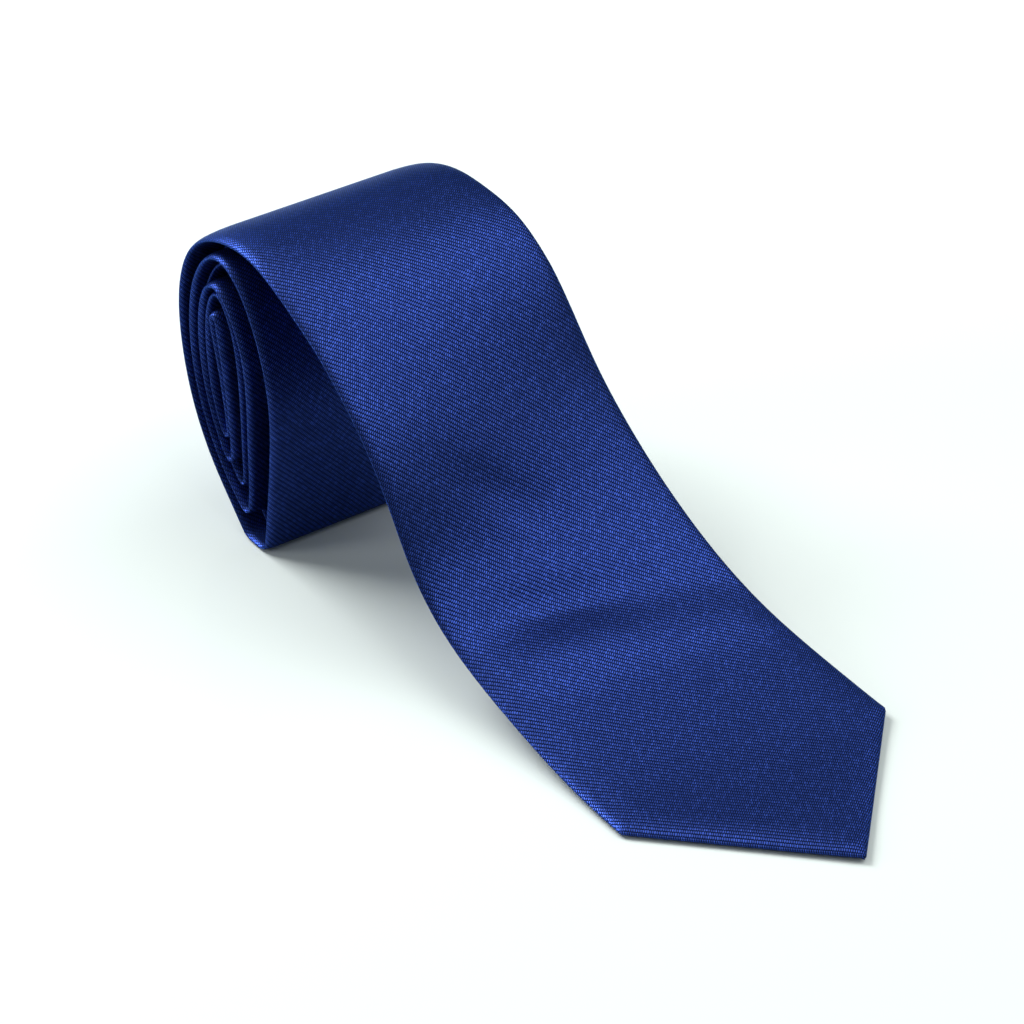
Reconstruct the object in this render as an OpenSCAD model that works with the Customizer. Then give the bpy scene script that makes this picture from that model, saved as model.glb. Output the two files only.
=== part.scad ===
// Necktie, folded double at the neck and rolled up from the fold, with the
// front blade drawn out over the roll to lie flat on its pointed end.
// Millimetres, +Z up, X along the drawn-out blade, Y along the roll's axis.
// The origin is under the middle of the whole tie, on the surface it lies on.

/* [Front blade] */
// Width of the front blade where its point begins
blade_w = 80; // [76:1:84]
// Width lost for each millimetre up the front blade
blade_taper = 0.062; // [0.055:0.001:0.066]
// Thickness of the flat front blade
blade_t = 2.6; // [2.2:0.1:2.6]
// Width of the turned hem along the point
hem_w = 8; // [6:0.5:10]
// Distance from the point to where the back flaps meet
flap_meet = 76; // [70:1:78]

/* [Neck and tail] */
// Width of the neck band
neck_w = 38; // [34:1:40]
// Width of the tail blade where its point begins
tail_w = 46; // [42:1:48]
// Thickness of the wound layers where they are pressed together
wound_t = 1.6; // [1.4:0.1:1.6]
// Thickness of the wound layers where they are loose
loose_t = 2.05; // [1.8:0.05:2.05]

/* [Cloth] */
// Thickness of the shell cloth
cloth = 0.42; // [0.3:0.02:0.46]
// Half width of the slot between the two back flaps
slot = 0.5; // [0.4:0.1:0.8]
// Thickness of the tipping cloth
tipping_t = 0.3; // [0.2:0.05:0.35]

/* [Keeper loop] */
// Distance from the point to the keeper loop
keeper_at = 222; // [218:1:224]
// Length of the keeper loop along the blade
keeper_l = 12; // [8:1:12]

/* [Joints] */
// Distance from the point to the bend at the blade's foot
foot_at = 80; // [79:1:81]
// Distance from the point to the bend on top of the roll
top_at = 207; // [206:1:208]
// Half of the gap between solids at a bend
gap = 1; // [0.8:0.1:1.2]

/* [Hidden] */
shell_blue = "#1b2f86";
lining_blue = "#16246a";
core_grey = "#d8d4c8";
thread_blue = "#24389a";
shift = [75, -37.8, 0];

// Middle line of the drawn-out blade, seen from the near side, [x, z]:
// its near edge, then its far edge.
near_edge = [[40,1.3],[30,1.3],[20,1.3],[10,1.3],[0,1.3],[-15,1.8],[-29.8,4],[-44.5,7.4],[-59,11.2],[-72.8,17],[-84.2,26.4],[-92.2,39],[-100.8,51],[-111.8,61],[-123.8,69.8],[-137,77]];
far_edge = [[40,1.8],[30,1.8],[20,1.8],[10,1.9],[0,2.2],[-14.8,4],[-29.6,5.9],[-44.4,8.7],[-58.6,13.6],[-72,20.3],[-84.7,28.4],[-96.2,37.6],[-107,48],[-115.6,60],[-124.8,71.6],[-136.8,80]];
crown = [[-150,81.6],[-158.5,82.2],[-167,81],[-175.5,77.6]];
// The outermost wall, from the top down, and the pitch of the layers inside it
wall = [[-181.6,72.2],[-185.4,65],[-186.9,55.5],[-185.8,45],[-182.3,33.5],[-177.3,24],[-170.5,15.3],[-162.5,8.2]];
pitch = [2.4,2.35,2.3,2.25,2.1,2,1.9,1.85];
foot = [[-157.5,3.8],[-154.2,0.8],[-151.5,0.8],[-149,0.8],[-146.6,0.8],[-144.9,2.5]];
// Front strand: outer loop, second loop, and the innermost run up to the fold
loop_1 = [[-144.6,8],[-143.9,15],[-143.4,24],[-143,34],[-143.6,44],[-146.6,54],[-151.4,63],[-157,70],[-163,74.3],[-169,75.2],[-174.2,72.8],[-178.6,66.8],[-181.4,58.5]];
loop_2 = [[-160.4,11.4],[-156.2,8],[-153.8,7.6],[-152.7,10],[-152.6,18],[-153.4,26],[-153.8,36],[-154.8,46],[-157.4,54.5],[-161.8,61],[-166.8,65.6],[-171.8,66.6],[-175.7,62.8],[-177.2,55.5]];
loop_3 = [[-163,19.2],[-161.4,19.2],[-161.3,22.2],[-161.8,26.5],[-162.9,33],[-164.9,42],[-167.2,49.5]];
fold = [[-168.7,54.3],[-169.2,57.6],[-172.4,57.8],[-171.3,53.8]];
// Tail strand, from the fold outward
tail_1 = [[-169.5,48.7],[-167.1,41.5],[-165.1,33.5],[-164,28.4],[-163.7,25.2],[-165.7,25]];
tail_2 = [[-174.75,48.5],[-175.0,55.5],[-173.7,61.2],[-171,63.9],[-168,63],[-164.2,58.6],[-161.6,52.5],[-159.9,44.5],[-158.9,35],[-158.4,26],[-157.8,18],[-157.5,13.6],[-159.3,12.9]];
tail_3 = [[-179.35,58.5],[-176.5,65.8],[-172.8,70.8],[-168.4,72.8],[-163.8,71.9],[-158.6,68.2],[-153.4,61.8],[-148.8,53.4],[-145.8,43.8],[-145.2,34],[-145.6,24],[-146,15],[-146.8,8],[-147.8,3.5],[-150.5,3],[-153.4,3.2],[-156.5,6.1]];

function clamp(v, a, b) = max(a, min(b, v));
function unit(v) = v / norm(v);
// A line of points moved sideways by d[i], to its left
function aside(p, d) = [for (i = [0:len(p)-1]) let (t = unit(p[min(i+1, len(p)-1)] - p[max(i-1, 0)])) p[i] + [-t[1], t[0]] * d[i]];
// Layer k inside the outermost wall
function layer(k) = aside(wall, k * pitch);
function part_of(p, a, b) = [for (i = [a:(a < b ? 1 : -1):b]) p[i]];
under = 2.7;
function under_edge(e) = let (a = concat(e, crown)) aside(a, [for (i = a) under]);
function mix(a, b, f) = [for (i = [0:len(a)-1]) a[i] * (1 - f) + b[i] * f];
function tail_top(f) = part_of(mix(under_edge(near_edge), under_edge(far_edge), f), 19, 6);
wound = concat(crown, wall, foot, loop_1, part_of(layer(2), 3, 6), loop_2, part_of(layer(4), 3, 6), loop_3, fold,
  tail_1, part_of(layer(5), 5, 4), tail_2, part_of(layer(3), 6, 3), tail_3, part_of(layer(1), 7, 0));
route_a = concat(near_edge, wound, tail_top(0.17));
route_b = concat(far_edge, wound, tail_top(0.76));

// Cubic B-spline through a control line, n steps a span
function spline(c, n) = let (q = concat([2 * c[0] - c[1]], c, [2 * c[len(c)-1] - c[len(c)-2]]))
  concat([for (i = [0:len(q)-4]) for (j = [0:n-1]) let (u = j / n)
    ((1-u)*(1-u)*(1-u) * q[i] + (3*u*u*u - 6*u*u + 4) * q[i+1] + (-3*u*u*u + 3*u*u + 3*u + 1) * q[i+2] + u*u*u * q[i+3]) / 6],
    [c[len(c)-1]]);
steps = 3;
line_a = spline(route_a, steps);
line_b = spline(route_b, steps);
last = len(line_a) - 1;
// Running length along the near edge
run = [for (i = 0, s = 0; i <= last; s = s + (i < last ? norm(line_a[i+1] - line_a[i]) : 0), i = i + 1) s];
tab_ax = [for (i = [0:last]) [run[i], line_a[i][0]]];
tab_az = [for (i = [0:last]) [run[i], line_a[i][1]]];
tab_bx = [for (i = [0:last]) [run[i], line_b[i][0]]];
tab_bz = [for (i = [0:last]) [run[i], line_b[i][1]]];
function at_a(s) = [lookup(s, tab_ax), lookup(s, tab_az)];
function at_b(s) = [lookup(s, tab_bx), lookup(s, tab_bz)];
function left_of(a) = let (u = unit(a)) [u[1], -u[0]];
function out_a(s) = left_of(at_a(s + 0.3) - at_a(s - 0.3));
function out_b(s) = left_of(at_b(s + 0.3) - at_b(s - 0.3));

fold_at = 668;
tail_top_at = 1079;
tail_end = 1160;
point_l = blade_w / 2;
// Width, near edge and thickness at running length s
function width(s) = s < point_l ? 2 * s
  : s < fold_at ? blade_w - blade_taper * (s - point_l)
  : s < tail_end ? lookup(s, [[fold_at, blade_w - blade_taper * (fold_at - point_l)], [800, neck_w], [900, neck_w], [tail_end, tail_w]])
  : tail_w - 2 * (s - tail_end);
function near(s) = s < point_l ? point_l - s
  : s < fold_at ? 0
  : s < tail_end ? lookup(s, [[fold_at, 0], [800, 1.5], [940, 5], [1040, 10], [tail_end, 14]])
  : 14 + (s - tail_end);
function full(s) = s < point_l ? blade_w : s < fold_at ? width(s) : s < tail_end ? width(s) : tail_w;
function full_near(s) = s < point_l ? 0 : s < fold_at ? 0 : s < tail_end ? near(s) : 14;
function pressed(z) = wound_t + (loose_t - wound_t) * clamp((z - 30) / 30, 0, 1);
function thick(s) = s > fold_at + 360 ? loose_t
  : let (p = pressed(at_a(s)[1])) p + (blade_t - p) * clamp((272 - s) / 34, 0, 1) * (s < 400 ? 1 : 0);
// The roll leans a little towards the near side at its foot
function lean(x, z) = -4.4 * (83 - z) / 86 * clamp((-124 - x) / 16, 0, 1);
// A point of the strand: v across from the near edge line, h out from the middle
function spot(s, y, h) = let (f = clamp((y - full_near(s)) / full(s), 0, 1),
    m = at_a(s) * (1 - f) + at_b(s) * f, o = out_a(s) * (1 - f) + out_b(s) * f, p = m + o * h)
  [p[0], y + lean(p[0], p[1]), p[1]] + shift;

function stations(a, b, every = 1) = concat([a], [for (i = [0:every:last]) if (run[i] > a + 0.35 && run[i] < b - 0.35) run[i]], [b]);

// Joins equal rings of points into one closed solid, with cap triangles c
module skin_of(rings, c) {
  n = len(rings[0]);
  m = len(rings);
  pts = [for (r = rings) for (p = r) p];
  // Every wide strip is split along the same diagonal, so that layers lie parallel
  sides = [for (i = [0:m-2]) for (j = [0:n-1]) let (k = (j + 1) % n)
    each rings[i][j][1] > rings[i][k][1] + 0.3
      ? [[i*n + j, (i+1)*n + k, i*n + k], [i*n + j, (i+1)*n + j, (i+1)*n + k]]
      : [[i*n + j, (i+1)*n + j, i*n + k], [i*n + k, (i+1)*n + j, (i+1)*n + k]]];
  first = c;
  end = [for (f = c) [f[0] + (m-1)*n, f[2] + (m-1)*n, f[1] + (m-1)*n]];
  polyhedron(points = pts, faces = concat(sides, first, end), convexity = 10);
}

shell_caps = [[0,14,15],[0,1,14],[1,2,14],[2,13,14],[2,3,13],[3,4,13],[4,12,13],[4,5,12],[5,6,12],[6,11,12],[6,7,11],[7,8,11],[8,10,11],[8,9,10]];
box_caps = [[0,1,2],[0,2,3]];
u_caps = [[0,1,7],[1,6,7],[1,2,6],[2,5,6],[2,3,5],[3,4,5]];

// Folded shell: front panel, two rolled sides and two back flaps of width fl
function shell_ring(s, fl, c) = let (w = width(s), y = near(s), h = thick(s) / 2, e = min(0.75, h * 0.8), g = min(fl, w / 2 - slot), i = c * 1.15)
  [spot(s, y + g, -h), spot(s, y + e, -h), spot(s, y, -h + e), spot(s, y, h - e), spot(s, y + e, h),
   spot(s, y + w - e, h), spot(s, y + w, h - e), spot(s, y + w, -h + e), spot(s, y + w - e, -h), spot(s, y + w - g, -h),
   spot(s, y + w - g, -h + c), spot(s, y + w - i, -h + c), spot(s, y + w - i, h - c),
   spot(s, y + i, h - c), spot(s, y + i, -h + c), spot(s, y + g, -h + c)];
function flap(s) = s < point_l ? hem_w * 1.4
  : s < flap_meet ? hem_w * 1.4 + (width(s) / 2 - hem_w * 1.4) * (s - point_l) / (flap_meet - point_l)
  : s > tail_end ? hem_w
  : s > tail_end - 26 ? hem_w + (width(s) / 2 - hem_w) * (tail_end - s) / 26
  : width(s) / 2;
module shell(a, b, every = 1) { skin_of([for (s = stations(a, b, every)) shell_ring(s, flap(s), cloth)], shell_caps); }

// Flat strip from h0 to h1, with m left free at both sides
function strip_ring(s, m, h0, h1) = let (w = width(s), y = near(s))
  [spot(s, y + m, h0), spot(s, y + m, h1), spot(s, y + w - m, h1), spot(s, y + w - m, h0)];
// Extra room under the filling where the strand twists
function ease(s) = 0.3 * clamp((255 - s) / 20, 0, 1) * clamp((s - 70) / 20, 0, 1) + 0.3 * clamp((s - 1040) / 20, 0, 1);
module filling(a, b, low, every = 1) {
  skin_of([for (s = stations(a, b, every)) let (h = thick(s) / 2) strip_ring(s, cloth * 1.15 + 0.25, -h + cloth + low + ease(s), h - cloth - 0.08)], box_caps);
}
module band(a, b, y0, y1, h0, h1, every = 1) {
  skin_of([for (s = stations(a, b, every)) let (m = near(s) + width(s) / 2)
    [spot(s, m + y0, -thick(s) / 2 + h0), spot(s, m + y0, -thick(s) / 2 + h1), spot(s, m + y1, -thick(s) / 2 + h1), spot(s, m + y1, -thick(s) / 2 + h0)]], box_caps);
}

front_seam = 600;
tail_seam = 860;
tail_foot = tail_end - 34;

module front_shell_tip() { color(shell_blue) shell(2.5, foot_at - gap); }
module front_shell_drape() { color(shell_blue) shell(foot_at + gap, top_at - gap); }
module front_shell_roll() { color(shell_blue) shell(top_at + gap, front_seam - 0.6); }
module neck_shell() { color(shell_blue) shell(front_seam + 0.6, tail_seam - 0.6); }
module tail_shell_roll() { color(shell_blue) shell(tail_seam + 0.6, tail_top_at - gap); }
module tail_shell_end() { color(shell_blue) shell(tail_top_at + gap, tail_end + tail_w / 2 - 2.2); }
module interlining_tip() { color(core_grey) filling(6, foot_at - gap, tipping_t + 0.26); }
module interlining_drape() { color(core_grey) filling(foot_at + gap, top_at - gap, 0.06); }
module interlining_roll() { color(core_grey) filling(top_at + gap, tail_top_at - gap, 0.06); }
module tail_interlining_end() { color(core_grey) filling(tail_top_at + gap, tail_end + 10, tipping_t + 0.26); }
module front_tipping() {
  color(lining_blue) skin_of([for (s = stations(5, foot_at - gap)) let (h = thick(s) / 2)
    strip_ring(s, cloth * 1.15 + 0.5, -h + cloth + 0.04, -h + cloth + 0.04 + tipping_t)], box_caps);
}
module tail_tipping() {
  color(lining_blue) skin_of([for (s = stations(tail_foot, tail_end + tail_w / 2 - 5)) let (h = thick(s) / 2)
    strip_ring(s, cloth * 1.15 + 0.5, -h + cloth + 0.16, -h + cloth + 0.16 + tipping_t)], box_caps);
}
module keeper_loop() {
  color(lining_blue) skin_of([for (s = stations(keeper_at, keeper_at + keeper_l)) let (w = width(s), h = thick(s) / 2, d = h + 3)
    [spot(s, w - 4, -h - 0.1), spot(s, w - 4, -d), spot(s, 4, -d), spot(s, 4, -h - 0.1),
     spot(s, 4.6, -h - 0.1), spot(s, 4.6, -d + 0.5), spot(s, w - 4.6, -d + 0.5), spot(s, w - 4.6, -h - 0.1)]], u_caps);
}
module keeper_loop_tacks() {
  color(thread_blue) for (y = [5, width(keeper_at) - 8.2]) for (s = [keeper_at + 1.5, keeper_at + keeper_l - 3.5])
    skin_of([for (q = [s, s + 2]) let (h = thick(q) / 2) [spot(q, y, -h - 0.35), spot(q, y, -h - 0.1), spot(q, y + 2.2, -h - 0.1), spot(q, y + 2.2, -h - 0.35)]], box_caps);
}
module slip_stitch_drape() { color(thread_blue) band(foot_at + gap + 8, top_at - gap, -0.25, 0.25, 0.04, 0.3); }
module slip_stitch_roll() { color(thread_blue) band(top_at + gap, tail_top_at - gap, -0.25, 0.25, 0.04, 0.32); }
module slip_stitch_tail_end() { color(thread_blue) band(tail_top_at + gap, tail_foot, -0.25, 0.25, 0.04, 0.3); }
module front_bar_tack() { color(thread_blue) band(foot_at + gap + 2, foot_at + gap + 3.2, -3, 3, -0.4, -0.03); }
module tail_bar_tack() { color(thread_blue) band(tail_foot - 2, tail_foot - 0.8, -2.4, 2.4, -0.16, -0.03); }
module front_piecing_seam() { color(thread_blue) skin_of([for (s = [front_seam - 0.5, front_seam + 0.5]) shell_ring(s, width(s) / 2, cloth)], shell_caps); }
module tail_piecing_seam() { color(thread_blue) skin_of([for (s = [tail_seam - 0.5, tail_seam + 0.5]) shell_ring(s, width(s) / 2, cloth)], shell_caps); }

front_shell_tip();
front_shell_drape();
front_shell_roll();
neck_shell();
tail_shell_roll();
tail_shell_end();
interlining_tip();
interlining_drape();
interlining_roll();
tail_interlining_end();
front_tipping();
tail_tipping();
keeper_loop();
keeper_loop_tacks();
slip_stitch_drape();
slip_stitch_roll();
slip_stitch_tail_end();
front_bar_tack();
tail_bar_tack();
front_piecing_seam();
tail_piecing_seam();
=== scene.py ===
import math

import bpy
import numpy as np
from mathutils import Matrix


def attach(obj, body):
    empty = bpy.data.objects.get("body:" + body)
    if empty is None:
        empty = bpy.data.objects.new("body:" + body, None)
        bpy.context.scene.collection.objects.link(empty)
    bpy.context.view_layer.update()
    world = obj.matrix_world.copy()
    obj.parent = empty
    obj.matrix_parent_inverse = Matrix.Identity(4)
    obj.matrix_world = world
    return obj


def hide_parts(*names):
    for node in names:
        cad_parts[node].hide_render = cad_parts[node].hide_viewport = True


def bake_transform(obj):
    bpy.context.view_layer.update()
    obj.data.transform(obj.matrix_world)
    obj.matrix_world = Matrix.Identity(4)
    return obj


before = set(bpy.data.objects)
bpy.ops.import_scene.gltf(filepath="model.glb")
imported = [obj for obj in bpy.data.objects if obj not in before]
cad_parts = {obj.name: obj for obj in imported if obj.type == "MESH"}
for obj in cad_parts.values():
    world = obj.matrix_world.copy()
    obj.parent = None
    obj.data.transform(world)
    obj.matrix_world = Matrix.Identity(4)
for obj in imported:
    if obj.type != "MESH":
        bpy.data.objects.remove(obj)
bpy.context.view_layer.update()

# ---------------------------------------------------------------- the route
# The strand's route is the CAD's own: the same control points, in millimetres.
NEAR = [(40,1.3),(30,1.3),(20,1.3),(10,1.3),(0,1.3),(-15,1.8),(-29.8,4),(-44.5,7.4),(-59,11.2),(-72.8,17),(-84.2,26.4),(-92.2,39),(-100.8,51),(-111.8,61),(-123.8,69.8),(-137,77)]
FAR = [(40,1.8),(30,1.8),(20,1.8),(10,1.9),(0,2.2),(-14.8,4),(-29.6,5.9),(-44.4,8.7),(-58.6,13.6),(-72,20.3),(-84.7,28.4),(-96.2,37.6),(-107,48),(-115.6,60),(-124.8,71.6),(-136.8,80)]
CROWN = [(-150,81.6),(-158.5,82.2),(-167,81),(-175.5,77.6)]
WALL = [(-181.6,72.2),(-185.4,65),(-186.9,55.5),(-185.8,45),(-182.3,33.5),(-177.3,24),(-170.5,15.3),(-162.5,8.2)]
PITCH = [2.4,2.35,2.3,2.25,2.1,2,1.9,1.85]
FOOT = [(-157.5,3.8),(-154.2,0.8),(-151.5,0.8),(-149,0.8),(-146.6,0.8),(-144.9,2.5)]
LOOP1 = [(-144.6,8),(-143.9,15),(-143.4,24),(-143,34),(-143.6,44),(-146.6,54),(-151.4,63),(-157,70),(-163,74.3),(-169,75.2),(-174.2,72.8),(-178.6,66.8),(-181.4,58.5)]
LOOP2 = [(-160.4,11.4),(-156.2,8),(-153.8,7.6),(-152.7,10),(-152.6,18),(-153.4,26),(-153.8,36),(-154.8,46),(-157.4,54.5),(-161.8,61),(-166.8,65.6),(-171.8,66.6),(-175.7,62.8),(-177.2,55.5)]
LOOP3 = [(-163,19.2),(-161.4,19.2),(-161.3,22.2),(-161.8,26.5),(-162.9,33),(-164.9,42),(-167.2,49.5)]
FOLD = [(-168.7,54.3),(-169.2,57.6),(-172.4,57.8),(-171.3,53.8)]
TAIL1 = [(-169.5,48.7),(-167.1,41.5),(-165.1,33.5),(-164,28.4),(-163.7,25.2),(-165.7,25)]
TAIL2 = [(-174.75,48.5),(-175.0,55.5),(-173.7,61.2),(-171,63.9),(-168,63),(-164.2,58.6),(-161.6,52.5),(-159.9,44.5),(-158.9,35),(-158.4,26),(-157.8,18),(-157.5,13.6),(-159.3,12.9)]
TAIL3 = [(-179.35,58.5),(-176.5,65.8),(-172.8,70.8),(-168.4,72.8),(-163.8,71.9),(-158.6,68.2),(-153.4,61.8),(-148.8,53.4),(-145.8,43.8),(-145.2,34),(-145.6,24),(-146,15),(-146.8,8),(-147.8,3.5),(-150.5,3),(-153.4,3.2),(-156.5,6.1)]
SHIFT = np.array([75, -37.8, 0.0])


def aside(points, d):
    p = np.array(points, float)
    out = []
    for i in range(len(p)):
        t = p[min(i + 1, len(p) - 1)] - p[max(i - 1, 0)]
        t = t / np.linalg.norm(t)
        out.append(p[i] + np.array([-t[1], t[0]]) * d[i])
    return np.array(out)


def layer(k, a, b):
    q = aside(WALL, [k * x for x in PITCH])
    return [tuple(q[i]) for i in range(a, b + (1 if a < b else -1), 1 if a < b else -1)]


def under(edge):
    a = list(edge) + CROWN
    return aside(a, [2.7] * len(a))


def tail_top(f):
    q = under(NEAR) * (1 - f) + under(FAR) * f
    return [tuple(q[i]) for i in range(19, 5, -1)]


WOUND = CROWN + WALL + FOOT + LOOP1 + layer(2, 3, 6) + LOOP2 + layer(4, 3, 6) + LOOP3 + FOLD + TAIL1 + layer(5, 5, 4) + TAIL2 + layer(3, 6, 3) + TAIL3 + layer(1, 7, 0)
ROUTE_A = NEAR + WOUND + tail_top(0.17)
ROUTE_B = FAR + WOUND + tail_top(0.76)


def spline(control, n):
    c = np.array(control, float)
    q = np.vstack([2 * c[0] - c[1], c, 2 * c[-1] - c[-2]])
    m = len(q) - 3
    u = np.arange(m * n + 1) / n
    k = np.minimum(u.astype(int), m - 1)
    t = (u - k)[:, None]
    p = ((1 - t) ** 3 * q[k] + (3 * t**3 - 6 * t * t + 4) * q[k + 1] + (-3 * t**3 + 3 * t * t + 3 * t + 1) * q[k + 2] + t**3 * q[k + 3]) / 6
    d = (-3 * (1 - t) ** 2 * q[k] + (9 * t * t - 12 * t) * q[k + 1] + (-9 * t * t + 6 * t + 3) * q[k + 2] + 3 * t * t * q[k + 3]) / 6
    return u, p, d


DENSE = 48
u3, a3, _ = spline(ROUTE_A, 3)
run3 = np.concatenate([[0], np.cumsum(np.linalg.norm(np.diff(a3, axis=0), axis=1))])
ud, LA, DA = spline(ROUTE_A, DENSE)
_, LB, DB = spline(ROUTE_B, DENSE)
RUN = np.interp(ud, u3, run3)


def table(values, s):
    return np.stack([np.interp(s, RUN, values[:, k]) for k in (0, 1)], -1)


FOLD_AT, TAIL_END, POINT, BLADE_W, TAPER, NECK_W, TAIL_W = 668.0, 1160.0, 40.0, 80.0, 0.062, 38.0, 46.0
TAIL_TOP_AT, TOP_AT, FOOT_AT = 1079.0, 207.0, 80.0


def width(s):
    s = np.asarray(s, float)
    fw = BLADE_W - TAPER * (FOLD_AT - POINT)
    w = np.where(s < POINT, 2 * s, BLADE_W - TAPER * (s - POINT))
    w = np.where(s >= FOLD_AT, np.interp(s, [FOLD_AT, 800, 900, TAIL_END], [fw, NECK_W, NECK_W, TAIL_W]), w)
    return np.where(s > TAIL_END, TAIL_W - 2 * (s - TAIL_END), w)


def near(s):
    s = np.asarray(s, float)
    y = np.where(s < POINT, POINT - s, 0.0)
    y = np.where(s >= FOLD_AT, np.interp(s, [FOLD_AT, 800, 940, 1040, TAIL_END], [0, 1.5, 5, 10, 14]), y)
    return np.where(s > TAIL_END, 14 + (s - TAIL_END), y)


def full(s):
    s = np.asarray(s, float)
    return np.where(s < POINT, BLADE_W, np.where(s > TAIL_END, TAIL_W, width(s)))


def full_near(s):
    s = np.asarray(s, float)
    return np.where(s < POINT, 0.0, np.where(s > TAIL_END, 14.0, near(s)))


def thick(s):
    s = np.asarray(s, float)
    z = table(LA, s)[..., 1]
    p = 1.6 + 0.45 * np.clip((z - 30) / 30, 0, 1)
    t = p + (2.6 - p) * np.clip((272 - s) / 34, 0, 1) * (s < 400)
    return np.where(s > FOLD_AT + 360, 2.05, t)


def spot(s, y, h):
    """Points of the strand in metres: s along it, y across from the near edge line, h out of its middle."""
    s, y, h = np.broadcast_arrays(np.asarray(s, float), np.asarray(y, float), np.asarray(h, float))
    f = np.clip((y - full_near(s)) / full(s), 0, 1)[..., None]
    m = table(LA, s) * (1 - f) + table(LB, s) * f
    d = table(DA, s) * (1 - f) + table(DB, s) * f
    d = d / np.linalg.norm(d, axis=-1, keepdims=True)
    p = m + np.stack([d[..., 1], -d[..., 0]], -1) * h[..., None]
    lean = -4.4 * (83 - p[..., 1]) / 86 * np.clip((-124 - p[..., 0]) / 16, 0, 1)
    return (np.stack([p[..., 0], y + lean, p[..., 1]], -1) + SHIFT) / 1000


def bend_radius(s):
    d = table(DA, s)
    ang = np.unwrap(np.arctan2(d[:, 1], d[:, 0]))
    k = np.abs(np.gradient(ang, s))
    return 1 / np.maximum(k, 1e-4)


def stations(a, b, step=1.0, fine=0.3):
    """Running lengths from a to b, closer together where the strand bends tightly."""
    g = np.arange(a, b, 0.1)
    g = np.append(g, b)
    r = bend_radius(g)
    r = np.array([r[max(0, i - 8):i + 9].min() for i in range(len(r))])
    ds = np.clip(r * 0.16, fine, step)
    n = np.concatenate([[0], np.cumsum(0.5 * (1 / ds[1:] + 1 / ds[:-1]) * np.diff(g))])
    count = max(2, int(math.ceil(n[-1])) + 1)
    return np.interp(np.linspace(0, n[-1], count), n, g)


# ---------------------------------------------------------------- mesh helpers
def make_object(name, verts, faces, uv=None, smooth=True, flat_faces=()):
    me = bpy.data.meshes.new(name)
    me.from_pydata([tuple(v) for v in verts], [], [tuple(int(i) for i in f) for f in faces])
    me.update()
    keep = np.ones(len(me.polygons), bool) if smooth else np.zeros(len(me.polygons), bool)
    for i in flat_faces:
        keep[i] = False
    me.polygons.foreach_set("use_smooth", keep)
    if uv is not None:
        layer_uv = me.uv_layers.new(name="cloth")
        idx = np.zeros(len(me.loops), np.int32)
        me.loops.foreach_get("vertex_index", idx)
        layer_uv.data.foreach_set("uv", np.asarray(uv, np.float32)[idx].ravel())
    ob = bpy.data.objects.new(name, me)
    bpy.context.scene.collection.objects.link(ob)
    return ob


def normals_of(P):
    """Smooth normals of a grid of rings, each ring a closed loop."""
    du = np.gradient(P, axis=0)
    dv = (np.roll(P, -1, axis=1) - np.roll(P, 1, axis=1)) / 2
    n = np.cross(dv, du)
    return n / (np.linalg.norm(n, axis=-1, keepdims=True) + 1e-12)


def tube_rings(name, P, UV, N=None):
    """P: rings x points x 3, each ring a closed loop made of an outer half and a matching inner half.
    N are its normals where they have to run on smoothly into the next piece."""
    m, n = P.shape[:2]
    half = n // 2
    j = np.arange(n)
    k = (j + 1) % n
    faces = []
    for i in range(m - 1):
        faces.append(np.stack([i * n + j, (i + 1) * n + j, (i + 1) * n + k, i * n + k], -1))
    faces = [f for block in faces for f in block]
    flat = []
    for base, flip in ((0, True), ((m - 1) * n, False)):
        for q in range(half - 1):
            a, b, c, d = q, q + 1, n - 2 - q, n - 1 - q
            f = [base + a, base + b, base + c, base + d]
            flat.append(len(faces))
            faces.append(f if flip else f[::-1])
    V = P.reshape(-1, 3) - P.reshape(-1, 3).mean(0)
    F = np.array(faces)
    vol = sum(np.einsum("ij,ij->", V[F[:, 0]], np.cross(V[F[:, a]], V[F[:, a + 1]])) for a in (1, 2))
    if vol < 0:
        faces = [list(f)[::-1] for f in faces]
    ob = make_object(name, V * 0 + P.reshape(-1, 3), faces, UV.reshape(-1, 2), True, flat)
    if N is not None:
        ob.data.normals_split_custom_set_from_vertices([tuple(float(x) for x in v) for v in N.reshape(-1, 3)])
    return ob


SLOT = 0.5
CLOTH = 0.42
HEM = 8.0
FLAP_MEET = 76.0


def flap(s):
    s = np.asarray(s, float)
    w = width(s)
    edge = HEM * 1.4142
    f = w / 2 - 0.18
    f = np.where(s < POINT, np.minimum(edge, f), f)
    mid = (s >= POINT) & (s < FLAP_MEET)
    f = np.where(mid, edge + (w / 2 - 0.18 - edge) * np.clip((s - POINT) / (FLAP_MEET - POINT), 0, 1), f)
    f = np.where(s > TAIL_END, np.minimum(HEM * 1.2, w / 2 - 0.18), f)
    e2 = HEM * 1.2
    mid2 = (s > TAIL_END - 26) & (s <= TAIL_END)
    f = np.where(mid2, e2 + (w / 2 - 0.18 - e2) * (TAIL_END - s) / 26, f)
    return f


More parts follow.
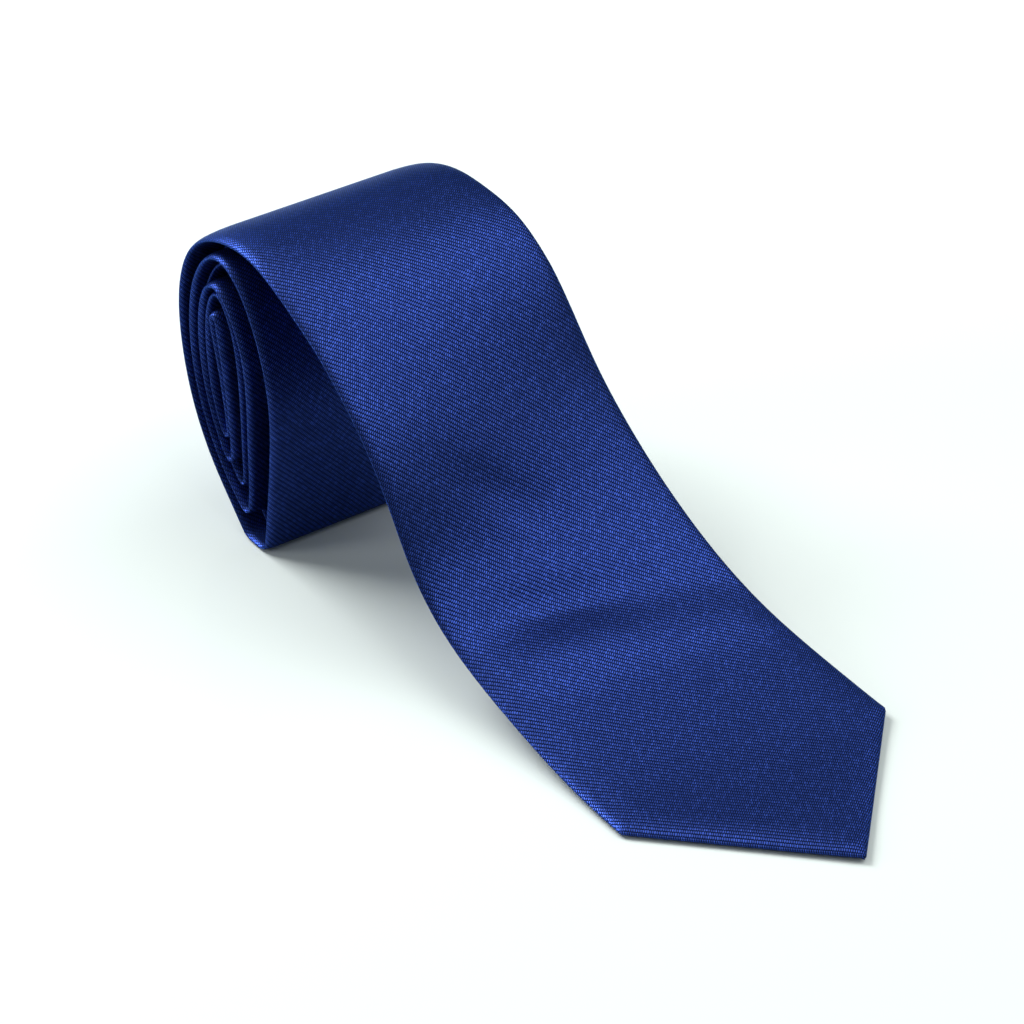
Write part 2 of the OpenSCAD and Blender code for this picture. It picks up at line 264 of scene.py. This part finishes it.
def relief(s, y):
    """Small soft unevenness of the drawn-out blade, in millimetres along its normal."""
    w = np.maximum(width(s), 1e-6)
    v = (y - near(s)) / w
    r = np.zeros(np.broadcast(s, y).shape)
    fade = np.clip((214 - s) / 30, 0, 1) * np.clip(s / 25, 0, 1)
    r = r + fade * 0.16 * np.sin(s * 0.071 + 1.3 * v + 0.6) * np.sin(3.0 * v + 0.5 + 0.02 * s)
    dx, dy = s - 141, y - 29
    a, b = (dx + dy) / 1.414, (dx - dy) / 1.414
    r = r - 0.75 * np.exp(-(a / 6.0) ** 2 - (b / 14.0) ** 2)
    # a soft shelf across the blade where it lifts off, with a swell before it
    c = s - (104 - 22 * np.clip(v - 0.3, 0, 1) ** 1.3)
    much = np.interp(v, [0, 0.1, 0.3, 0.5, 0.7, 0.9, 1], [0, 0.35, 1.0, 0.9, 0.5, 0.4, 0])
    r = r + much * (1.25 * np.exp(-((c + 10) / 7.5) ** 2) - 1.5 * np.exp(-((c - 5) / 6.5) ** 2))
    d = np.minimum(v, 1 - v) * w / np.where(s < POINT, 1.4142, 1.0)
    r = r * np.clip(d / 3.0, 0, 1)
    # the front rolls over softly towards its edges
    reach = np.where(s < POINT, 8.0, 10.0)
    r = r - 0.85 * np.clip(1 - d / reach, 0, 1) ** 2 * np.clip(s / 12, 0, 1) * np.clip((300 - s) / 60, 0, 1)
    return np.where(s < 400, r, 0.0)


def soften(s, y):
    """Share of the thickness left near the edges, where the wound strand is pressed round."""
    w = float(width(s))
    d = np.clip(np.minimum(y - float(near(s)), float(near(s)) + w - y), 0, None)
    return 1 - 0.32 * np.clip(1 - d / 5.5, 0, 1) ** 2 * float(np.clip((s - 230) / 40, 0, 1))


def shell_piece(name, a, b, n_face=34, n_back=14, n_rim=9, step=1.0, ease=True):
    """The folded cloth of the tie from a to b: back flap, rim, front, rim, back flap, with its thickness."""
    S = stations(a, b, step)
    S = np.concatenate([[a - 0.6 if a > 10 else a + 1e-4], S, [b + 0.6 if b < TAIL_END else b - 1e-4]])
    rows, uvs = [], []
    for s in S:
        w, y0, t = float(width(s)), float(near(s)), float(thick(s))
        slant = 1.4142 if (s < POINT or s > TAIL_END) else 1.0
        small = min(1.0, w / 9.0)
        bh = t / 2 * (0.35 + 0.65 * small)
        rim = min((1.9 + 0.9 * float(np.clip((t - 2.05) / 0.5, 0, 1))) * slant, w / 2 * 0.96)
        g = min(float(flap(s)), w / 2 - 0.12) if w > 1 else w / 2 * 0.9
        g = max(g, rim * 1.02) if w / 2 > rim * 1.05 else g
        th = np.linspace(-math.pi / 2, math.pi / 2, 2 * n_rim + 1)
        rim_y, rim_h = rim * (1 - np.cos(th)), bh * np.sin(th)
        back = rim + (g - rim) * np.linspace(1, 0, n_back, endpoint=False)
        face_v = (1 - np.cos(np.linspace(0, math.pi, n_face + 2)[1:-1])) / 2 * 0.35 + np.linspace(0, 1, n_face + 2)[1:-1] * 0.65
        face = rim + (w - 2 * rim) * face_v
        Y = np.concatenate([back, rim_y, face, w - rim_y[::-1], w - back[::-1]])
        H = np.concatenate([-bh * np.ones(n_back), rim_h, bh * np.ones(n_face), rim_h[::-1], -bh * np.ones(n_back)])
        # the flaps' cut edges sink a little into the seam
        sink = np.clip(1 - (g - back) / 1.2, 0, 1) ** 2 * 0.22 * (1 if s > FLAP_MEET and s < TAIL_END - 26 else 0)
        H[:n_back] += sink
        H[-n_back:] += sink[::-1]
        # section normals
        dY, dH = np.gradient(Y), np.gradient(H)
        L = np.hypot(dY, dH) + 1e-9
        nY, nH = -dH / L, dY / L
        c = min(CLOTH, bh * 0.62)
        iY, iH = Y - nY * c, H - nH * c
        lo, hi = c * 0.9, w - c * 0.9
        iY = np.clip(iY, min(lo, w / 2 - 0.01), max(hi, w / 2 + 0.01))
        arc = np.concatenate([[0], np.cumsum(np.hypot(np.diff(Y), np.diff(H)))])
        mid_i = n_back + n_rim
        arc = arc - arc[mid_i]
        yy = np.concatenate([Y, iY[::-1]]) + y0
        hh = np.concatenate([H, iH[::-1]]) * soften(s, yy)
        if s < 400:
            hh = hh + relief(s, yy) * np.clip((hh + bh) / (2 * bh), 0, 1) * np.clip((hh + bh) / (2 * bh), 0, 1)
        rows.append(spot(s, yy, hh))
        cc = np.concatenate([arc, arc[::-1]]) + y0
        uvs.append(np.stack([np.full(len(cc), s) / 1000, cc / 1000], -1))
    P, UV = np.array(rows), np.array(uvs)
    N = normals_of(P)
    mid = len(S) // 2
    k = n_back + 2 * n_rim + 1 + n_face // 2
    s = S[mid]
    y = float(near(s) + width(s) / 2)
    out = spot(s, y, 1.0) - spot(s, y, 0.0)
    if np.dot(N[mid, k], out) < 0:
        N = -N
    return tube_rings(name, P[1:-1], UV[1:-1], N[1:-1])


def slab_piece(name, a, b, margin, low, high, n=16, step=1.4, soft=0.25):
    """A flat layer inside the shell: low and high are clearances from the shell's back and front cloth."""
    S = stations(a, b, step, 0.35)
    rows, uvs = [], []
    for s in S:
        w, y0, t = float(width(s)), float(near(s)), float(thick(s))
        small = min(1.0, w / 9.0)
        bh = t / 2 * (0.35 + 0.65 * small)
        slant = 1.4142 if (s < POINT or s > TAIL_END) else 1.0
        m = min(margin * slant, w / 2 * 0.8)
        v = np.linspace(m, w - m, n)
        r = np.clip(np.minimum(v - m, w - m - v) / 0.8, 0, 1)
        h0, h1 = low(bh), high(bh)
        mid, hw = (h0 + h1) / 2, (h1 - h0) / 2
        e = (1 - (1 - r) ** 2) ** 0.5 * (1 - soft) + soft
        yy = np.concatenate([v, v[::-1]]) + y0
        hh = np.concatenate([mid + hw * e, (mid - hw * e)[::-1]]) * soften(s, yy)
        if s < 400:
            hh = hh + relief(s, yy) * np.clip((hh + bh) / (2 * bh), 0, 1)
        rows.append(spot(s, yy, hh))
        uvs.append(np.stack([np.full(2 * n, s) / 1000, yy / 1000], -1))
    return tube_rings(name, np.array(rows), np.array(uvs))


def threads(name, paths, r=0.17, sides=8):
    """Round thread pieces with domed ends, one for each path of (s, y, h) points."""
    V, F, base = [], [], 0
    for path in paths:
        q = np.array(path, float)
        P = spot(q[:, 0], q[:, 1], q[:, 2])
        T = np.gradient(P, axis=0)
        T /= np.linalg.norm(T, axis=1, keepdims=True)
        ref = np.array([0.31, 0.52, 0.8])
        m = len(P)
        for i in range(m):
            A = np.cross(T[i], ref); A /= np.linalg.norm(A)
            B = np.cross(T[i], A)
            e = r / 1000 * (0.35 if i in (0, m - 1) else 1.0)
            for j in range(sides):
                an = 2 * math.pi * j / sides
                V.append(P[i] + (A * math.cos(an) + B * math.sin(an)) * e)
        for i in range(m - 1):
            for j in range(sides):
                k = (j + 1) % sides
                F.append((base + i * sides + j, base + i * sides + k, base + (i + 1) * sides + k, base + (i + 1) * sides + j))
        F.append(tuple(base + j for j in range(sides))[::-1])
        F.append(tuple(base + (m - 1) * sides + j for j in range(sides)))
        base += m * sides
    return make_object(name, V, F, None, True)


# ---------------------------------------------------------------- materials
def new_material(name):
    m = bpy.data.materials.new(name)
    m.use_nodes = True
    nt = m.node_tree
    return m, nt, nt.nodes["Principled BSDF"]


def math_node(nt, op, a, b=None, c=None):
    n = nt.nodes.new("ShaderNodeMath")
    n.operation = op
    for i, x in enumerate((a, b, c)):
        if x is None:
            continue
        if isinstance(x, (int, float)):
            n.inputs[i].default_value = x
        else:
            nt.links.new(x, n.inputs[i])
    return n.outputs[0]


def ramp(nt, fac, stops):
    n = nt.nodes.new("ShaderNodeValToRGB")
    nt.links.new(fac, n.inputs["Fac"])
    el = n.color_ramp.elements
    while len(el) > 1:
        el.remove(el[-1])
    el[0].position, el[0].color = stops[0][0], (*stops[0][1], 1)
    for p, col in stops[1:]:
        e = el.new(p)
        e.color = (*col, 1)
    return n.outputs["Color"]


def srgb(r, g, b):
    return tuple(((c / 255) / 12.92 if c / 255 <= 0.04045 else ((c / 255 + 0.055) / 1.055) ** 2.4) for c in (r, g, b))


def weave_material():
    """Navy silk with painted royal-blue sheen: diagonal ribs 1.04 mm apart made of short staggered floats 0.54 mm
    apart; the float crowns are painted lighter as sheen, the grooves darker as painted shade, and a random few floats
    as painted glints.
    """
    m, nt, bsdf = new_material("blue_rib_silk")
    uv = nt.nodes.new("ShaderNodeUVMap")
    uv.uv_map = "cloth"
    sep = nt.nodes.new("ShaderNodeSeparateXYZ")
    nt.links.new(uv.outputs["UV"], sep.inputs[0])
    # a little unevenness of the rows
    wob = nt.nodes.new("ShaderNodeTexNoise")
    nt.links.new(uv.outputs["UV"], wob.inputs["Vector"])
    wob.inputs["Scale"].default_value = 55
    wob.inputs["Detail"].default_value = 1.0
    wobble = math_node(nt, "MULTIPLY_ADD", wob.outputs["Fac"], 0.5, -0.25)
    add = math_node(nt, "ADD", sep.outputs["X"], sep.outputs["Y"])
    sub = math_node(nt, "SUBTRACT", sep.outputs["X"], sep.outputs["Y"])
    p = math_node(nt, "MULTIPLY_ADD", add, 0.70711 / 0.00104, wobble)
    row = math_node(nt, "FLOOR", p)
    q = math_node(nt, "MULTIPLY_ADD", row, 0.46, math_node(nt, "MULTIPLY", sub, 0.70711 / 0.00054))
    cell = math_node(nt, "FLOOR", q)
    fp = math_node(nt, "FRACT", p)
    fq = math_node(nt, "FRACT", q)
    dp = math_node(nt, "MULTIPLY", math_node(nt, "ABSOLUTE", math_node(nt, "SUBTRACT", fp, 0.5)), 2.0)
    dq = math_node(nt, "MULTIPLY", math_node(nt, "ABSOLUTE", math_node(nt, "SUBTRACT", fq, 0.5)), 2.0)
    # rounded profiles: 1 on the crown, 0 in the grooves
    rp = math_node(nt, "SQRT", math_node(nt, "MAXIMUM", math_node(nt, "SUBTRACT", 1.0, math_node(nt, "POWER", dp, 2.2)), 0.0))
    rq = math_node(nt, "SQRT", math_node(nt, "MAXIMUM", math_node(nt, "SUBTRACT", 1.0, math_node(nt, "POWER", dq, 2.0)), 0.0))
    height = math_node(nt, "MULTIPLY", rp, math_node(nt, "MULTIPLY_ADD", rq, 0.62, 0.38))
    # the floats, where both are well up: the weave pattern, with painted sheen on their crowns and painted shade in the
    # grooves between them
    mp = nt.nodes.new("ShaderNodeMapRange"); mp.interpolation_type = "SMOOTHSTEP"
    nt.links.new(dp, mp.inputs["Value"])
    mp.inputs["From Min"].default_value = 1.25; mp.inputs["From Max"].default_value = 0.35
    mq = nt.nodes.new("ShaderNodeMapRange"); mq.interpolation_type = "SMOOTHSTEP"
    nt.links.new(dq, mq.inputs["Value"])
    mq.inputs["From Min"].default_value = 0.95; mq.inputs["From Max"].default_value = 0.20
    float_sheen_mask = math_node(nt, "MULTIPLY", mp.outputs[0], mq.outputs[0])
    comb = nt.nodes.new("ShaderNodeCombineXYZ")
    nt.links.new(row, comb.inputs[0]); nt.links.new(cell, comb.inputs[1])
    wn = nt.nodes.new("ShaderNodeTexWhiteNoise"); wn.noise_dimensions = "3D"
    nt.links.new(comb.outputs[0], wn.inputs["Vector"])
    # painted glints: a random few floats painted much lighter as specular glints, on top of a random tone for each
    # float
    glint = math_node(nt, "POWER", wn.outputs["Value"], 6.0)
    vary = math_node(nt, "MULTIPLY_ADD", glint, 0.4, math_node(nt, "MULTIPLY_ADD", wn.outputs["Value"], 0.12, 0.76))
    soft = nt.nodes.new("ShaderNodeTexNoise")
    nt.links.new(uv.outputs["UV"], soft.inputs["Vector"])
    soft.inputs["Scale"].default_value = 700
    soft.inputs["Detail"].default_value = 2.0
    vary2 = math_node(nt, "MULTIPLY", vary, math_node(nt, "MULTIPLY_ADD", soft.outputs["Fac"], 0.24, 0.88))
    fac = math_node(nt, "MULTIPLY", float_sheen_mask, vary2)
    # weave colour from the float mask: painted shade in the grooves (DARK), the navy of the silk (MID), painted
    # royal-blue sheen on the float crowns (BRIGHT)
    col = ramp(nt, fac, [(0.0, srgb(*DARK)), (0.35, srgb(*MID)), (1.0, srgb(*BRIGHT))])
    nt.links.new(col, bsdf.inputs["Base Color"])
    bump = nt.nodes.new("ShaderNodeBump")
    bump.inputs["Strength"].default_value = 0.55
    bump.inputs["Distance"].default_value = 0.00018
    nt.links.new(height, bump.inputs["Height"])
    nt.links.new(bump.outputs["Normal"], bsdf.inputs["Normal"])
    bsdf.inputs["Roughness"].default_value = 0.36
    bsdf.inputs["Metallic"].default_value = 0.85
    bsdf.inputs["Specular IOR Level"].default_value = 0.35
    bsdf.inputs["Specular Tint"].default_value = (0.42, 0.58, 1.0, 1)
    return m


def plain_material(name, colour, rough, sheen=0.0, spec=0.5, fine=None, bump=0.0):
    m, nt, bsdf = new_material(name)
    bsdf.inputs["Base Color"].default_value = (*srgb(*colour), 1)
    bsdf.inputs["Roughness"].default_value = rough
    bsdf.inputs["Specular IOR Level"].default_value = spec
    bsdf.inputs["Sheen Weight"].default_value = sheen
    if fine:
        tc = nt.nodes.new("ShaderNodeTexCoord")
        n = nt.nodes.new("ShaderNodeTexNoise")
        nt.links.new(tc.outputs["Object"], n.inputs["Vector"])
        n.inputs["Scale"].default_value = fine
        n.inputs["Detail"].default_value = 3
        b = nt.nodes.new("ShaderNodeBump")
        b.inputs["Strength"].default_value = bump
        b.inputs["Distance"].default_value = 0.0002
        nt.links.new(n.outputs["Fac"], b.inputs["Height"])
        nt.links.new(b.outputs["Normal"], bsdf.inputs["Normal"])
    return m


# weave colours: DARK is painted shade in the grooves, MID the navy of the silk, BRIGHT painted royal-blue sheen on the
# floats
DARK, MID, BRIGHT = (11, 16, 33), (23, 39, 95), (63, 93, 196)
SILK = weave_material()
LINING = plain_material("lining_satin", (20, 32, 92), 0.38, 0.05, 0.4, 2600, 0.12)
CORE = plain_material("interlining_felt", (206, 204, 196), 0.95, 0.35, 0.2, 3200, 0.6)
THREAD = plain_material("blue_thread", (30, 44, 108), 0.5, 0.2, 0.5)


def dress(ob, material):
    ob.data.materials.append(material)
    return ob


# ---------------------------------------------------------------- the pieces
def at_mm(s, y=40.0):
    return [float(x) for x in spot(s, y, 0.0)]


TOP_A = (-0.088, -0.004, 0.0815)
TOP_B = (-0.046, -0.004, 0.0705)
FOOT_A = tuple(at_mm(101))
FOOT_B = tuple(at_mm(60))
SPLIT, WOUND_AT, TAIL_SPLIT = 145.0, 272.0, 1036.0

tip_shell = dress(shell_piece("front_blade_tip", 0.5, SPLIT), SILK)
drape_shell = dress(shell_piece("front_blade_drape", SPLIT, WOUND_AT), SILK)
wound_shell = dress(shell_piece("front_blade_wound", WOUND_AT, 599.7, 24, 8, 6, 1.4, 0.35), SILK)
neck = dress(shell_piece("neck_piece", 600.3, 859.7, 18, 7, 6, 1.5, 0.35), SILK)
tail_wound = dress(shell_piece("tail_wound", 860.3, TAIL_SPLIT, 18, 7, 6, 1.5, 0.35), SILK)
tail_end_shell = dress(shell_piece("tail_end_blade", TAIL_SPLIT, TAIL_END + TAIL_W / 2 - 0.7, 22, 9, 6, 1.2), SILK)

interlining_tip = dress(slab_piece("interlining_tip_felt", 6, SPLIT, 0.9, lambda b: -b + CLOTH + (0.42), lambda b: b - CLOTH - 0.06), CORE)
interlining_drape = dress(slab_piece("interlining_drape_felt", SPLIT, WOUND_AT, 0.75, lambda b: -b + CLOTH + 0.06, lambda b: b - CLOTH - 0.06), CORE)
interlining_roll = dress(slab_piece("interlining_roll_felt", WOUND_AT, TAIL_SPLIT, 1.7, lambda b: -b + CLOTH + 0.06, lambda b: b - CLOTH - 0.06, 10, 2.0), CORE)
interlining_tail = dress(slab_piece("interlining_tail_felt", TAIL_SPLIT, TAIL_END + 10, 1.6, lambda b: -b + CLOTH + 0.42, lambda b: b - CLOTH - 0.06), CORE)
front_tip_lining = dress(slab_piece("front_tipping_lining", 5, 79, 0.95, lambda b: -b + CLOTH + 0.04, lambda b: -b + CLOTH + 0.34, 20, 1.4, 0.6), LINING)
tail_tip_lining = dress(slab_piece("tail_tipping_lining", TAIL_END - 34, TAIL_END + TAIL_W / 2 - 5, 0.95, lambda b: -b + CLOTH + 0.04, lambda b: -b + CLOTH + 0.34, 14, 1.2, 0.6), LINING)


def back_h(s):
    return -float(thick(s)) / 2


def middle(s):
    return float(near(s) + width(s) / 2)


def slip_stitches(name, a, b, pitch=6.0):
    """Slanted stitches along the seam where the two back flaps meet."""
    paths = []
    n = int((b - a) // pitch)
    for i in range(n):
        s = a + (i + 0.5) * (b - a) / n
        m = middle(s)
        h = back_h(s)
        paths.append([(s - 0.9 + 1.8 * k / 6, m - 0.85 + 1.7 * k / 6, h - 0.10 + 0.30 * (1 - math.sin(math.pi * (k + 0.001) / 6.002))) for k in range(7)])
    return threads(name, paths, 0.16)


stitch_drape = dress(slip_stitches("slip_stitches_drape", 90, WOUND_AT), THREAD)
stitch_roll = dress(slip_stitches("slip_stitches_roll", WOUND_AT, TAIL_SPLIT), THREAD)
stitch_tail = dress(slip_stitches("slip_stitches_tail", TAIL_SPLIT, TAIL_END - 37, 6.0), THREAD)


def bar_tack(name, s, half):
    m, h = middle(s), back_h(s)
    paths = [[(s - 0.5, m - half + 2 * half * k / 8, h - 0.12) for k in range(9)], [(s + 0.5, m - half + 2 * half * k / 8, h - 0.12) for k in range(9)]]
    n = int(half / 0.32)
    for i in range(-n, n + 1):
        y = m + i * half / n
        paths.append([(s - 0.8 + 1.6 * k / 6, y + 0.05, h - 0.16 - 0.13 * math.sin(math.pi * k / 6)) for k in range(7)])
    return threads(name, paths, 0.14, 6)


front_tack = dress(bar_tack("front_bar_tack_thread", 83.6, 3.0), THREAD)
tail_tack = dress(bar_tack("tail_bar_tack_thread", TAIL_END - 35.4, 2.4), THREAD)


def keeper():
    """The flat loop on the back: a folded ribbon standing a little off the seam, its ends sewn down."""
    a, b = 222.0, 234.0
    S = np.linspace(a, b, 17)
    w = float(width(228))
    rows, uvs = [], []
    n = 60
    q = np.linspace(-1, 1, n)
    for i, s in enumerate(S):
        base = float(thick(s)) / 2
        edge = min(i, len(S) - 1 - i)
        th = 0.42 + (0.0 if edge > 1 else -0.10 * (2 - edge))
        rise = 0.12 + 2.55 * np.clip((1 - np.abs(q)) / 0.13, 0, 1) ** 0.7 * (1 - 0.10 * q * q)
        y = w / 2 + q * (w / 2 - 4.0)
        dy, dr = np.gradient(y), np.gradient(rise)
        L = np.hypot(dy, dr)
        outer = np.stack([y, rise + th / 2], -1)
        inner = np.stack([y, np.maximum(rise - th / 2, 0.02)], -1)
        yy = np.concatenate([outer[:, 0], inner[::-1, 0]])
        hh = -base - np.concatenate([outer[:, 1], inner[::-1, 1]])
        rows.append(spot(s, yy, hh))
        uvs.append(np.stack([np.full(2 * n, s) / 1000, yy / 1000], -1))
    return tube_rings("keeper_ribbon", np.array(rows)[:, ::-1], np.array(uvs)[:, ::-1])


keeper_piece = dress(keeper(), LINING)


def tacks():
    paths = []
    w = float(width(228))
    for y0 in (5.0, w - 7.2):
        for s0 in (223.5, 231.0):
            for i in range(5):
                y = y0 + i * 0.55
                paths.append([(s0 - 0.1 + 2.2 * k / 6, y, back_h(s0) - 0.75 - 0.14 * math.sin(math.pi * k / 6)) for k in range(7)])
    return threads("keeper_tack_threads", paths, 0.13, 6)


keeper_tacks = dress(tacks(), THREAD)


def piecing(name, s0):
    """The joined edges of two lengths of shell: a slight raised ridge of the same silk."""
    return shell_piece(name, s0 - 0.42, s0 + 0.42, 14, 6, 5, 0.4, 0.2)


front_seam = dress(piecing("front_piecing_ridge", 600.0), SILK)
tail_seam = dress(piecing("tail_piecing_ridge", 860.0), SILK)

# ---------------------------------------------------------------- riding, replacing, slots
TABLE = [
    (tip_shell, ("drape", "tip", FOOT_A, FOOT_B), ["front_shell_tip"], "shell"),
    (drape_shell, ("roll", "drape", TOP_A, TOP_B), ["front_shell_drape"], "shell"),
    (wound_shell, "roll", ["front_shell_roll"], "shell"),
    (neck, "roll", ["neck_shell"], "shell"),
    (tail_wound, "roll", ["tail_shell_roll"], "shell"),
    (tail_end_shell, ("roll", "drape", TOP_A, TOP_B), ["tail_shell_end"], "shell"),
    (interlining_tip, ("drape", "tip", FOOT_A, FOOT_B), ["interlining_tip"], "interlining"),
    (interlining_drape, ("roll", "drape", TOP_A, TOP_B), ["interlining_drape"], "interlining"),
    (interlining_roll, "roll", ["interlining_roll"], "interlining"),
    (interlining_tail, ("roll", "drape", TOP_A, TOP_B), ["tail_interlining_end"], "interlining"),
    (front_tip_lining, ("drape", "tip", FOOT_A, FOOT_B), ["front_tipping"], "tipping"),
    (tail_tip_lining, "drape", ["tail_tipping"], "tipping"),
    (keeper_piece, ("roll", "drape", TOP_A, TOP_B), ["keeper_loop"], "keeper"),
    (keeper_tacks, ("roll", "drape", TOP_A, TOP_B), ["keeper_loop_tacks"], "thread"),
    (stitch_drape, ("roll", "drape", TOP_A, TOP_B), ["slip_stitch_drape"], "thread"),
    (stitch_roll, "roll", ["slip_stitch_roll"], "thread"),
    (stitch_tail, ("roll", "drape", TOP_A, TOP_B), ["slip_stitch_tail_end"], "thread"),
    (front_tack, ("drape", "tip", FOOT_A, FOOT_B), ["front_bar_tack"], "thread"),
    (tail_tack, "drape", ["tail_bar_tack"], "thread"),
    (front_seam, "roll", ["front_piecing_seam"], "shell"),
    (tail_seam, "roll", ["tail_piecing_seam"], "shell"),
]
for ob, body, nodes, slot in TABLE:
    if isinstance(body, str):
        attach(ob, body)
    else:
        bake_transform(ob)
    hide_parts(*nodes)

# ---------------------------------------------------------------- floor, lights, camera
floor_me = bpy.data.meshes.new("floor")
floor_me.from_pydata([(-6, -6, 0), (6, -6, 0), (6, 6, 0), (-6, 6, 0)], [], [(0, 1, 2, 3)])
floor = bpy.data.objects.new("floor", floor_me)
bpy.context.scene.collection.objects.link(floor)
fm, fnt, fb = new_material("pale_floor")
fb.inputs["Base Color"].default_value = (*srgb(235, 244, 241), 1)
fb.inputs["Roughness"].default_value = 0.13
fb.inputs["Specular IOR Level"].default_value = 0.5
floor.data.materials.append(fm)


def area_light(name, where, size, watts, colour=(1, 1, 1), at=(0, 0, 0.04), size_y=None):
    l = bpy.data.lights.new(name, "AREA")
    l.energy = watts
    l.color = colour
    l.shape = "RECTANGLE"
    l.size = size
    l.size_y = size_y or size
    o = bpy.data.objects.new(name, l)
    bpy.context.scene.collection.objects.link(o)
    from mathutils import Vector
    d = Vector(at) - Vector(where)
    o.location = where
    o.rotation_euler = d.to_track_quat("-Z", "Y").to_euler()
    return o


area_light("overhead_panel", (0.25, 0.62, 1.30), 1.5, 13)
area_light("left_key_panel", (-1.30, -0.42, 1.22), 1.0, 36)
area_light("near_side_fill", (-0.70, -1.50, 0.62), 0.5, 5)
world = bpy.data.worlds.new("studio")
bpy.context.scene.world = world
world.use_nodes = True
bg = world.node_tree.nodes["Background"]
bg.inputs["Color"].default_value = (0.90, 0.98, 0.95, 1)
bg.inputs["Strength"].default_value = 0.21

cam = bpy.data.cameras.new("camera")
cam.lens = 133.6
cam.sensor_width = 36
cam.clip_end = 50
cam_ob = bpy.data.objects.new("camera", cam)
bpy.context.scene.collection.objects.link(cam_ob)
cam_ob.location = (0.61566, -0.45943, 0.55265)
el, ph = math.radians(33.98), math.radians(35.845)
from mathutils import Matrix, Vector
fwd = Vector((-math.cos(ph) * math.cos(el), math.sin(ph) * math.cos(el), -math.sin(el)))
right = Vector((math.sin(ph), math.cos(ph), 0))
up = right.cross(fwd)
cam_ob.rotation_euler = Matrix((right, up, -fwd)).transposed().to_euler()
bpy.context.scene.camera = cam_ob
bpy.context.scene.view_settings.view_transform = "Standard"
